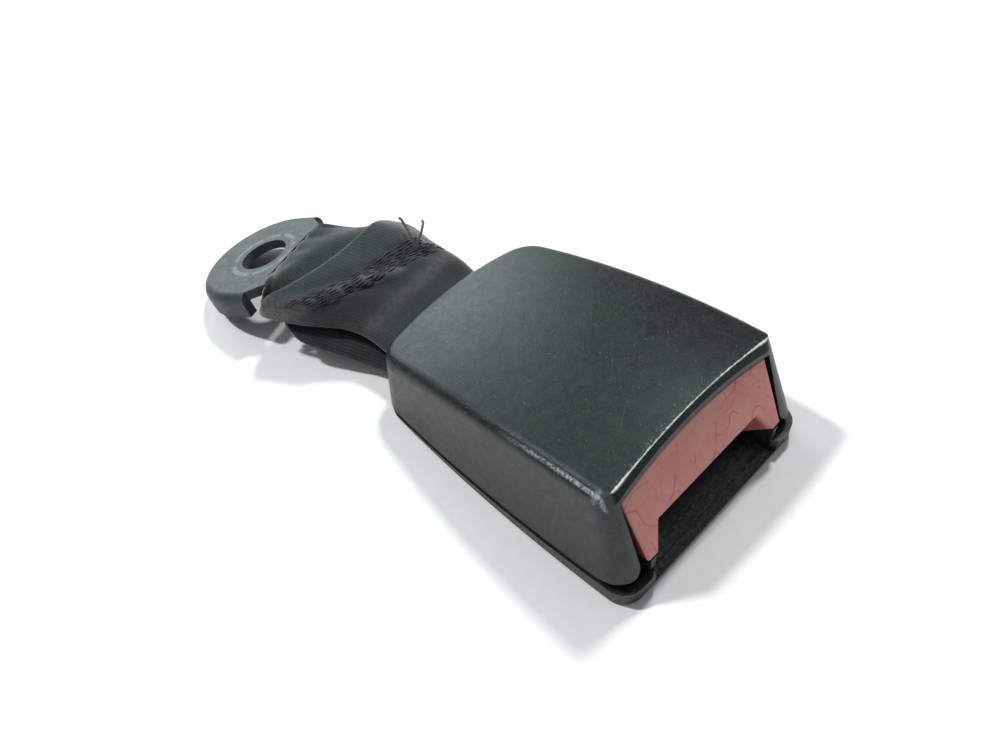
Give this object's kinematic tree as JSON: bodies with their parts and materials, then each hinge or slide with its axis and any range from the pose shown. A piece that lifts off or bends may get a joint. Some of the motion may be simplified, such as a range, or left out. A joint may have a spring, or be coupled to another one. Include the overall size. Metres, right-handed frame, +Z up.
{
  "type": "seat belt buckle",
  "caption": "Press-button seat belt buckle: black housing with a sloping button above the tongue slot, a short doubled webbing strap and a round steel anchor plate.",
  "frame": {"origin": "middle of the flat bottom of the housing's lower cover", "axes": "+X across the buckle, +Y from the button end towards the anchor plate, +Z up, out of the housing's top; the buckle lies on its flat bottom with the anchor plate resting on the same surface"},
  "size_m": [0.0687, 0.1447, 0.0301],
  "materials": {
    "cover_black": "fine-grained satin",
    "button_red": "smooth, faded and scratched",
    "guide_black": "smooth",
    "webbing_black": "ribbed weave",
    "thread_black": "twisted thread",
    "anchor_grey": "dark grey satin coat",
    "frame_steel": "zinc plated",
    "latch_steel": "zinc plated",
    "pin_steel": "bright",
    "spring_steel": "bright",
    "ejector_white": "smooth",
    "sleeve_plastic": "smooth",
    "buffer_rubber": "smooth"
  },
  "bodies": {
    "housing": {"upper_cover": "cover_black", "lower_cover": "cover_black", "tongue_guide": "guide_black", "frame": "frame_steel", "bridge": "frame_steel", "bridge_rivets": "pin_steel", "latch_buffer": "buffer_rubber", "latch_pin": "pin_steel", "pin_clip": "spring_steel", "latch_spring": "spring_steel", "guide_rod": "pin_steel", "ejector_spring": "spring_steel", "button_spring_left": "spring_steel", "button_spring_right": "spring_steel", "webbing_bar": "pin_steel", "bar_sleeve": "sleeve_plastic"},
    "button": {"press_button": "button_red"},
    "latch": {"latch_plate": "latch_steel"},
    "ejector_body": {"ejector": "ejector_white"},
    "strap": {"webbing": "webbing_black", "stitching": "thread_black", "thread_tails": "thread_black"},
    "anchor": {"anchor_plate": "anchor_grey"}
  },
  "joints": [
    {"name": "button_press", "type": "slide", "parent": "housing", "child": "button", "axis": [0, 1, 0], "range_m": [0, 0.0055], "stiffness_N_per_m": 700, "springref_m": -0.004, "deforming": ["button_spring_left", "button_spring_right"]},
    {"name": "latch_lift", "type": "hinge", "parent": "housing", "child": "latch", "pos_m": [0, 0.014, 0.014], "axis": [-1, 0, 0], "range_deg": [0, 13], "deforming": ["latch_spring"]},
    {"name": "ejector_slide", "type": "slide", "parent": "housing", "child": "ejector_body", "axis": [0, 1, 0], "range_m": [0, 0.012], "stiffness_N_per_m": 150, "springref_m": -0.004, "deforming": ["ejector_spring"]},
    {"name": "strap_swing", "type": "hinge", "parent": "housing", "child": "strap", "pos_m": [0, 0.0315, 0.007], "axis": [1, 0, 0], "range_deg": [-25, 3]},
    {"name": "anchor_swing", "type": "hinge", "parent": "strap", "child": "anchor", "pos_m": [-0.01574, 0.07649, 0.01526], "axis": [0.9458, 0.3223, -0.0403], "range_deg": [-25, 25]}
  ],
  "couplings": [
    {"joint": "latch_lift", "follows": "button_press", "rad_per_m": 41.25}
  ]
}
